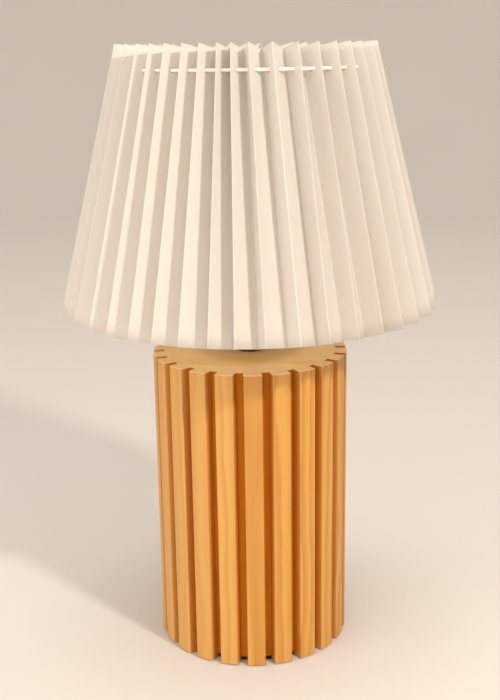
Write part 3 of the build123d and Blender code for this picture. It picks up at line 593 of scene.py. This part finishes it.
def punched_panel(sizes):
    """One flat panel from fold to fold, 1 wide and 1 high, with its hole, as a mesh.

    It is a grid with a square left out round the hole. Two rings of points fill the square up to the hole.
    """
    width, high = sizes.panel_width, sizes.strip_width
    reach = 3.0 * MM                # half of the square's side
    hole_x, hole_y = hole_place(sizes)
    crease = sizes.crease_width / width
    ease = 1.8 * crease
    rows_below, rows_above = 16, 3
    steps = (-1, -0.5, 0, 0.5, 1)
    cells = len(steps) - 1
    before_hole = [0, crease, ease]
    columns = before_hole + [hole_x + step * reach / width for step in steps]
    columns += [*TO_INNER_FOLD, 1 - ease, 1 - crease, 1]
    beside_hole = [hole_y + step * reach / high for step in steps]
    rows = [row * beside_hole[0] / rows_below for row in range(rows_below)] + beside_hole
    left_above = 1 - beside_hole[-1]
    rows += [beside_hole[-1] + (row + 1) * left_above / rows_above for row in range(rows_above)]
    points = [(x, y, 0) for y in rows for x in columns]
    across = len(columns)
    faces = []
    for row in range(len(rows) - 1):
        for column in range(across - 1):
            in_square = 0 <= row - rows_below < cells and 0 <= column - len(before_hole) < cells
            if not in_square:
                start = row * across + column
                faces.append((start, start + 1, start + 1 + across, start + across))

    ring = [(2, 0), (2, 1), (2, 2), (1, 2), (0, 2), (-1, 2), (-2, 2), (-2, 1),
            (-2, 0), (-2, -1), (-2, -2), (-1, -2), (0, -2), (1, -2), (2, -2), (2, -1)]
    middle = (rows_below + cells // 2) * across + len(before_hole) + cells // 2
    square = [middle + up * across + side for side, up in ring]
    rims = []
    for share in (0.0, 0.45):       # from the hole's edge to the square
        rims.append(len(points))
        for side, up in ring:
            turn = math.atan2(up, side)
            edge = Vector((side, up)) * reach / 2
            spot = (Vector((math.cos(turn), math.sin(turn))) * sizes.hole_radius).lerp(edge, share)
            points.append((hole_x + spot.x / width, hole_y + spot.y / high, 0))
    inner, outer = rims
    for step in range(len(ring)):
        after = (step + 1) % len(ring)
        faces.append((outer + step, square[step], square[after], outer + after))
        faces.append((inner + step, outer + step, outer + after, inner + after))
    used = sorted({corner for face in faces for corner in face})
    place = {corner: index for index, corner in enumerate(used)}
    mesh = bpy.data.meshes.new("punched_panel")
    mesh.from_pydata([points[corner] for corner in used], [],
                     [tuple(place[corner] for corner in face) for face in faces])
    return mesh


def folding_tree(sizes, labels, material):
    """Lay the punched panels end to end as a strip, then fold the strip round the lamp."""
    bench, start, size = geometry_tree("fold_the_shade", labels)
    panels = size["pleats"] * 2.0

    # The flat strip, in which each panel is 1 wide and 1 high. One more panel laps the first.
    line = bench.add("GeometryNodeMeshLine", {"Count": panels + 1.0, "Offset": (1.0, 0.0, 0.0)})
    copies = bench.add("GeometryNodeInstanceOnPoints", {"Points": line, "Instance": start})
    strip = bench.add("GeometryNodeRealizeInstances", {0: copies})
    strip = bench.add("GeometryNodeMergeByDistance", {"Geometry": strip, "Distance": PANEL_JOIN})
    along, up, _ = bench.parts(bench.add("GeometryNodeInputPosition", {}))
    panel = (along + ALMOST).math("FLOOR")
    share = along - panel

    def random(low, high, number, offset):
        """A number that each fold or panel keeps for itself."""
        return bench.add("FunctionNodeRandomValue", {2: low, 3: high, 7: number, 8: sizes.seed + offset},
                         output=1, data_type="FLOAT")

    def crowding(turn, end):
        """How far the pleats stray from even spacing, which the drawstring makes worse at the top."""
        drift, swings, (depth, middle, reach) = CROWDING[end]
        for times, (cosine, sine) in enumerate(swings, 1):
            drift = drift + (turn * times).math("COSINE") * cosine + (turn * times).math("SINE") * sine
        off = (turn - math.radians(middle) + math.pi).math("FLOORED_MODULO", math.tau) - math.pi
        near = off * (math.degrees(1) / reach)
        return (drift + (near * near * -1.0).math("EXPONENT") * depth) * math.radians(1)

    def fold_end(number, outer, lap, end, offset):
        """One end of a fold: at the hem or at the top edge."""
        inner = 1.0 - outer
        turn = size["seam_angle"] + number * (math.tau / panels)
        spread = ((turn - size["shallow_angle"]).math("COSINE") + 1.0) * 0.5
        turn = turn + crowding(turn, end) + random(-1.0, 1.0, number, offset) * size[end + "_scatter"]
        turn = turn + inner * size[end + "_lean"]
        radius = size[end + "_fold_radius"] + outer * (size[end + "_radius"] - size[end + "_fold_radius"])
        radius = radius - random(0.0, 1.0, number, offset + 1) * outer * OUTER_STRAY
        stray = random(0.0, 1.0, number, offset + 2) * INNER_STRAY
        radius = radius + inner * (stray + spread * spread * size[end + "_shallow"]) + lap
        height = size[end + "_fold_height"] + outer * (size[end + "_height"] - size[end + "_fold_height"])
        return bench.place(radius * turn.math("SINE"), radius * turn.math("COSINE") * -1.0, height)

    def fold(number):
        """The fold line's hem end, top end and whether it is an outer fold. The last ones lap the first."""
        lapped = number.math("GREATER_THAN", panels - 0.5)
        wrapped = number.math("MODULO", panels)
        outer = wrapped.math("MODULO", 2.0)
        hem_lap = lapped * (size["seam_lap"] + size["seam_gape"] * (1.0 - outer))
        low = fold_end(wrapped, outer, hem_lap, "hem", 0)
        high = fold_end(wrapped, outer, lapped * size["seam_lap"], "top", 10)
        return low, high, outer

    # A point's place between the two folds of its panel.
    low_here, high_here, outer = fold(panel)
    low_next, high_next, _ = fold(panel + 1.0)
    here = bench.between(up, low_here, high_here)
    after = bench.between(up, low_next, high_next)
    flat = bench.between(share, here, after)

    # Folds are rounded off, and panels bow a little below the drawstring.
    on_fold = share.math("LESS_THAN", 2 * ALMOST)
    outward = bench.vector("NORMALIZE", bench.vector("MULTIPLY", here, (1.0, 1.0, 0.0)))
    pull = on_fold * ((1.0 - outer) * size["valley_pull"] - outer * size["crease_pull"])
    across = bench.vector("SUBTRACT", after, here)
    rising = bench.vector("SUBTRACT", high_here, low_here)
    square = bench.vector("NORMALIZE", bench.vector("CROSS_PRODUCT", across, rising))
    arch = (share * math.pi).math("SINE")
    loose = bench.span(hole_place(sizes)[1] - up, 0.0, LOOSE_FROM_STRING, smooth=True)
    bow = arch * loose * (random(-1.0, 1.0, panel, 20) * size["bow"] - size["sag"])
    moved = bench.vector("ADD", bench.scaled(outward, pull), bench.scaled(square, bow))

    # The map keeps the flat strip's own lengths.
    laid = bench.place(along * size["panel_width"], up * size["strip_width"], 0.0)
    marked = bench.add("GeometryNodeStoreNamedAttribute", {"Geometry": strip, "Name": "strip", "Value": laid},
                       data_type="FLOAT2", domain="CORNER")
    folded = bench.add("GeometryNodeSetPosition",
                       {"Geometry": marked, "Position": bench.vector("ADD", flat, moved)})
    close_tree(bench, folded, material)
    return bench


class LAMP_OT_pleated_shade(bpy.types.Operator):
    """Fold one punched strip of paper into the shade and lap its ends"""
    bl_idname = "lamp.pleated_shade"
    bl_label = "Pleated Shade"

    def execute(self, context):
        sizes = context.scene.lamp_shade
        piece = new_object("folded_paper_shade", punched_panel(sizes))
        labels = input_labels(sizes, FOLD_SIZES)
        material = shade_paper(context.scene.lamp_colours, sizes.panel_width)
        run_tree(piece, folding_tree(sizes, labels, material), labels, sizes)
        thicken = piece.modifiers.new("paper_thickness", "SOLIDIFY")
        thicken.thickness = sizes.thickness
        thicken.offset = -1
        work_in_modifiers(piece)
        piece.data.shade_smooth()
        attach(piece, "shade")
        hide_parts("pleated_shade")
        return {"FINISHED"}


# ---------------------------- the drawstring
def cord_frames(points, closed):
    """Each point of a cord with its sideways and upward directions."""
    frames = []
    up = Vector((0, 0, 1))
    for index, point in enumerate(points):
        before = points[index - 1] if closed or index else point
        after = points[(index + 1) % len(points)] if closed or index + 1 < len(points) else point
        forward = (after - before).normalized()
        side = forward.cross(up)
        if side.length < UPRIGHT:
            side = forward.cross(Vector((1, 0, 0)))
        side.normalize()
        up = side.cross(forward).normalized()
        frames.append((point, side, up))
    return frames


def cord(points, radius, closed):
    """A cord along points, as vertices, faces and the flat map that its weave follows."""
    vertices, faces, maps = [], [], []
    for point, side, up in cord_frames(points, closed):
        for step in range(CORD_SIDES):
            turn = math.tau * step / CORD_SIDES
            vertices.append(point + radius * (side * math.cos(turn) + up * math.sin(turn)))
    lengths = [0.0]
    for index, point in enumerate(points):
        lengths.append(lengths[-1] + (points[(index + 1) % len(points)] - point).length)
    for index in range(len(points) if closed else len(points) - 1):
        here, after = index * CORD_SIDES, (index + 1) % len(points) * CORD_SIDES
        for step in range(CORD_SIDES):
            next_step = (step + 1) % CORD_SIDES
            faces.append((here + step, here + next_step, after + next_step, after + step))
            low, high = step / CORD_SIDES, (step + 1) / CORD_SIDES
            start, end = lengths[index], lengths[index + 1]
            maps.append([(start, low), (start, high), (end, high), (end, low)])
    if not closed:
        last = (len(points) - 1) * CORD_SIDES
        faces.append(tuple(reversed(range(CORD_SIDES))))
        maps.append([(0.0, 0.5)] * CORD_SIDES)
        faces.append(tuple(range(last, last + CORD_SIDES)))
        maps.append([(lengths[-2], 0.5)] * CORD_SIDES)
    return vertices, faces, maps


def ring_path(sizes):
    """The drawstring's ring, with two points for each panel."""
    steps = 4 * sizes.pleats
    turns = [math.tau * step / steps for step in range(steps)]
    return [Vector((sizes.string_circle * math.sin(turn), sizes.string_circle * math.cos(turn),
                    sizes.string_height)) for turn in turns]


def knot_path(centre):
    """An overhand knot: a cord that goes round twice while it weaves in and out three times."""
    path = []
    for step in range(KNOT_STEPS):
        turn = math.tau * step / KNOT_STEPS
        reach = KNOT_RADIUS * (1 + 0.45 * math.cos(3 * turn))
        path.append(centre + Vector((reach * math.cos(2 * turn), MM * math.sin(3 * turn),
                                     reach * math.sin(2 * turn))))
    return path


def tail_path(centre, side):
    """One loose end, which comes out of the knot and hangs down in the rear valley."""
    path = []
    for step in range(TAIL_STEPS + 1):
        share = step / TAIL_STEPS
        out = math.sin(min(1, 2.2 * share) * math.pi / 2)
        wave = math.sin(5 * share + side)
        fall = share ** 1.4 * (1 + 0.08 * side)
        path.append(centre + Vector((side * (TAIL_START + TAIL_SPREAD * share + TAIL_WAVE * wave),
                                     TAIL_START + TAIL_OUT * out - TAIL_BACK * share, -TAIL_DROP * fall)))
    return path


class LAMP_OT_drawstring(bpy.types.Operator):
    """Thread the drawstring through the punched holes and tie it at the rear"""
    bl_idname = "lamp.drawstring"
    bl_label = "Drawstring"

    def execute(self, context):
        sizes = context.scene.lamp_shade
        centre = Vector((0, sizes.string_circle + KNOT_BEHIND, sizes.string_height))
        vertices, faces, spots = [], [], []
        for points, radius, closed in ((ring_path(sizes), sizes.string_radius, True),
                                       (knot_path(centre), KNOT_CORD, True),
                                       (tail_path(centre, -1), KNOT_CORD, False),
                                       (tail_path(centre, 1), KNOT_CORD, False)):
            new_vertices, new_faces, maps = cord(points, radius, closed)
            start = len(vertices)
            vertices += new_vertices
            faces += [tuple(start + corner for corner in face) for face in new_faces]
            spots += [spot for face in maps for spot in face]
        mesh = bpy.data.meshes.new("drawstring_cord")
        mesh.from_pydata(vertices, [], faces)
        layer = mesh.uv_layers.new(name="strip")
        layer.data.foreach_set("uv", [value for spot in spots for value in spot])
        mesh.materials.append(cotton_cord(context.scene.lamp_colours))
        mesh.shade_smooth()
        piece = new_object("drawstring_cord", mesh)
        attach(piece, "shade")
        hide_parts("drawstring")
        return {"FINISHED"}


# ---------------------------- finishes of the other parts
class LAMP_OT_base_finishes(bpy.types.Operator):
    """Finish the wooden base, its pad and the cable outlet"""
    bl_idname = "lamp.base_finishes"
    bl_label = "Base Finishes"

    def execute(self, context):
        colours = context.scene.lamp_colours
        dress(slat_wood(colours), *SLATS)
        dress(disc_wood(colours), "top_plate")
        dress(core_wood(colours), "base_core", "bottom_plate")
        dress(plain_finish("beech_dowels", colours.pine_pale, roughness=0.6, speck=0.3, depth=0.05 * MM,
                           fineness=900.0), "top_dowels")
        dress(plain_finish("foam_pad", (0.012, 0.012, 0.012), roughness=0.85, speck=0.5, depth=0.3 * MM,
                           fineness=1400.0), "foot_pad")
        dress(plain_finish("black_rubber", (0.02, 0.02, 0.02), roughness=0.55, speck=0.3, depth=0.05 * MM,
                           fineness=1800.0), "cable_grommet")
        dress(plain_finish("zinc_plate", (0.62, 0.63, 0.62), roughness=0.32, speck=0.3, depth=0.03 * MM,
                           fineness=900.0, Metallic=1.0),
              "bottom_screws", "rod_nut", "rod_washer", "threaded_rod")
        dress(plain_finish("dark_bronze", (0.10, 0.065, 0.04), roughness=0.4, speck=0.4, depth=0.03 * MM,
                           fineness=1200.0, Metallic=0.9), "neck_collar")
        return {"FINISHED"}


class LAMP_OT_holder_finishes(bpy.types.Operator):
    """Finish the lampholder, its contacts and the switch bar"""
    bl_idname = "lamp.holder_finishes"
    bl_label = "Holder Finishes"

    def execute(self, context):
        dress(plain_finish("moulded_white_resin", (0.74, 0.73, 0.69), roughness=0.34, speck=0.15,
                           depth=0.03 * MM, fineness=1500.0), "holder_cap", "holder_body", "shade_ring")
        dress(plain_finish("moulded_switch", (0.78, 0.77, 0.74), roughness=0.3, speck=0.15,
                           depth=0.02 * MM, fineness=1500.0), "switch_bar")
        dress(plain_finish("glazed_ceramic", (0.78, 0.76, 0.70), roughness=0.22, speck=0.2,
                           depth=0.04 * MM, fineness=500.0, Coat_Weight=0.5), "holder_insert")
        dress(turned_metal("drawn_brass", (0.78, 0.56, 0.25), roughness=0.28),
              "screw_shell", "centre_contact", "terminal_screws", "holder_grub_screw")
        return {"FINISHED"}


class LAMP_OT_bulb_finishes(bpy.types.Operator):
    """Finish the filament bulb"""
    bl_idname = "lamp.bulb_finishes"
    bl_label = "Bulb Finishes"

    def execute(self, context):
        dress(clear_glass("blown_glass", (1.0, 1.0, 1.0), roughness=0.02), "bulb_glass")
        dress(clear_glass("glass_stem", (0.97, 0.98, 0.97), roughness=0.05), "bulb_stem")
        dress(turned_metal("rolled_bulb_cap", (0.76, 0.74, 0.68), roughness=0.25), "bulb_cap")
        dress(plain_finish("black_glass_insulator", (0.02, 0.02, 0.025), roughness=0.18, speck=0.2,
                           depth=0.03 * MM, fineness=900.0), "bulb_insulator")
        dress(plain_finish("solder_contact", (0.55, 0.55, 0.56), roughness=0.38, speck=0.5,
                           depth=0.08 * MM, fineness=1200.0, Metallic=1.0), "bulb_contact")
        dress(plain_finish("coated_filaments", (0.85, 0.55, 0.12), roughness=0.55, speck=0.5,
                           depth=0.05 * MM, fineness=2500.0), "bulb_filaments")
        return {"FINISHED"}


class LAMP_OT_frame_finishes(bpy.types.Operator):
    """Lacquer the wire frame that the shade rests on"""
    bl_idname = "lamp.frame_finishes"
    bl_label = "Frame Finishes"

    def execute(self, context):
        wires = [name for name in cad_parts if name.startswith(("strut_", "spoke_"))]
        dress(plain_finish("white_lacquered_wire", context.scene.lamp_colours.wire, roughness=0.36,
                           speck=0.12, depth=0.05 * MM, fineness=800.0, Coat_Weight=0.3),
              "top_ring", "bottom_ring", "fitter_plate", *wires)
        return {"FINISHED"}


# ---------------------------- stage
def studio_light(name, way, distance, size, watts, colour):
    """A soft rectangular light that shines at the lamp's middle."""
    light = bpy.data.lights.new(name, "AREA")
    light.shape = "RECTANGLE"
    light.size, light.size_y = size
    light.energy = watts
    light.color = colour
    piece = bpy.data.objects.new(name, light)
    way = Vector(way).normalized()
    piece.location = LAMP_MIDDLE + distance * way
    piece.rotation_euler = (-way).to_track_quat("-Z", "Y").to_euler()
    bpy.context.scene.collection.objects.link(piece)


def studio_floor(colour):
    """A wide pale floor that sweeps up into a wall all round."""
    finish = Finish("pale_floor")
    place = finish.spot()
    clouds = finish.noise(place, 3.0, 3.0)
    tone = finish.mix(finish.span(clouds, 0.3, 0.7), darker(colour, 0.985), colour)
    material = finish.close(tone, 0.75, finish.bump(finish.noise(place, 400.0, 3.0), 0.1 * MM, 0.2))
    flat, sweep, sides, curve_steps = 2.0, 2.2, 96, 16
    rings = [(0.3, 0.0), (1.0, 0.0), (flat, 0.0)]
    for step in range(1, curve_steps + 1):
        turn = math.pi / 2 * step / curve_steps
        rings.append((flat + sweep * math.sin(turn), sweep * (1 - math.cos(turn))))
    vertices = [(0, 0, 0)]
    for radius, height in rings:
        vertices += [(radius * math.cos(math.tau * step / sides), radius * math.sin(math.tau * step / sides),
                      height) for step in range(sides)]
    faces = [(0, 1 + step, 1 + (step + 1) % sides) for step in range(sides)]
    for ring in range(len(rings) - 1):
        inner, outer = 1 + ring * sides, 1 + (ring + 1) * sides
        for step in range(sides):
            after = (step + 1) % sides
            faces.append((inner + step, outer + step, outer + after, inner + after))
    mesh = bpy.data.meshes.new("studio_floor")
    mesh.from_pydata(vertices, [], faces)
    mesh.materials.append(material)
    mesh.shade_smooth()
    return new_object("studio_floor", mesh)


def front_camera(stage):
    """The camera, at the photograph's angle."""
    data = bpy.data.cameras.new("front_camera")
    data.lens = stage.focal
    data.sensor_width = 36.0
    data.sensor_fit = "AUTO"
    camera = bpy.data.objects.new("front_camera", data)
    tilt = Matrix.Rotation(math.pi / 2 - stage.camera_pitch, 4, "X")
    place = Matrix.Translation((0, -stage.camera_back, stage.camera_height))
    around = Matrix.Rotation(-stage.camera_side, 4, "Z")
    camera.matrix_world = around @ place @ tilt @ Matrix.Rotation(stage.camera_roll, 4, "Z")
    return camera


class LAMP_OT_stage(bpy.types.Operator):
    """Set up the floor, the lights and the camera"""
    bl_idname = "lamp.stage"
    bl_label = "Stage"

    def execute(self, context):
        scene, stage = context.scene, context.scene.lamp_stage
        camera = front_camera(stage)
        scene.collection.objects.link(camera)
        bpy.context.scene.camera = camera
        studio_floor(stage.floor)
        level = math.cos(stage.key_rise)
        key_way = (math.sin(stage.key_angle) * level, -math.cos(stage.key_angle) * level,
                   math.sin(stage.key_rise))
        studio_light("key_window", way=key_way, distance=1.7, size=(0.16, 0.08), watts=stage.key_power,
                     colour=(1.0, 0.93, 0.84))
        studio_light("left_fill", way=(-0.85, -0.45, 0.35), distance=1.8, size=(1.2, 1.2),
                     watts=stage.fill_power, colour=(0.97, 0.97, 1.0))
        studio_light("ceiling_light", way=(0, 0, 1), distance=1.64, size=(0.5, 0.5),
                     watts=stage.top_power, colour=(1.0, 0.94, 0.86))
        studio_light("front_fill", way=(-0.3, -0.95, 0.14), distance=1.6, size=(1.6, 0.9),
                     watts=stage.front_power, colour=(1.0, 0.93, 0.86))
        world = bpy.data.worlds.new("soft_room")
        world.use_nodes = True
        background = world.node_tree.nodes["Background"]
        background.inputs["Color"].default_value = opaque(stage.room)
        background.inputs["Strength"].default_value = stage.room_power
        scene.world = world
        scene.view_settings.view_transform = "Standard"
        return {"FINISHED"}


# ---------------------------- the add-on
class LAMP_PT_panel(bpy.types.Panel):
    """Buttons for the lamp's pieces"""
    bl_idname = "LAMP_PT_panel"
    bl_label = "Pleated Paper Lamp"
    bl_space_type = "VIEW_3D"
    bl_region_type = "UI"
    bl_category = "Lamp"

    def draw(self, context):
        for step in STEPS:
            self.layout.operator(step.bl_idname)


GROUPS = {"lamp_shade": LampShadeSizes, "lamp_colours": LampColours, "lamp_stage": LampStageSizes}
STEPS = (LAMP_OT_stage, LAMP_OT_pleated_shade, LAMP_OT_drawstring, LAMP_OT_base_finishes,
         LAMP_OT_holder_finishes, LAMP_OT_bulb_finishes, LAMP_OT_frame_finishes)


def register():
    """Add the lamp's settings, operators and panel."""
    for group in GROUPS.values():
        bpy.utils.register_class(group)
    for name, group in GROUPS.items():
        setattr(bpy.types.Scene, name, bpy.props.PointerProperty(type=group))
    for step in (*STEPS, LAMP_PT_panel):
        bpy.utils.register_class(step)


def unregister():
    """Take the lamp's panel, operators and settings away."""
    for step in reversed((*STEPS, LAMP_PT_panel)):
        bpy.utils.unregister_class(step)
    for name in GROUPS:
        delattr(bpy.types.Scene, name)
    for group in GROUPS.values():
        bpy.utils.unregister_class(group)


def main():
    """Make every piece in order."""
    register()
    for step in STEPS:
        family, _, name = step.bl_idname.partition(".")
        getattr(getattr(bpy.ops, family), name)()


if __name__ == "__main__":
    main()
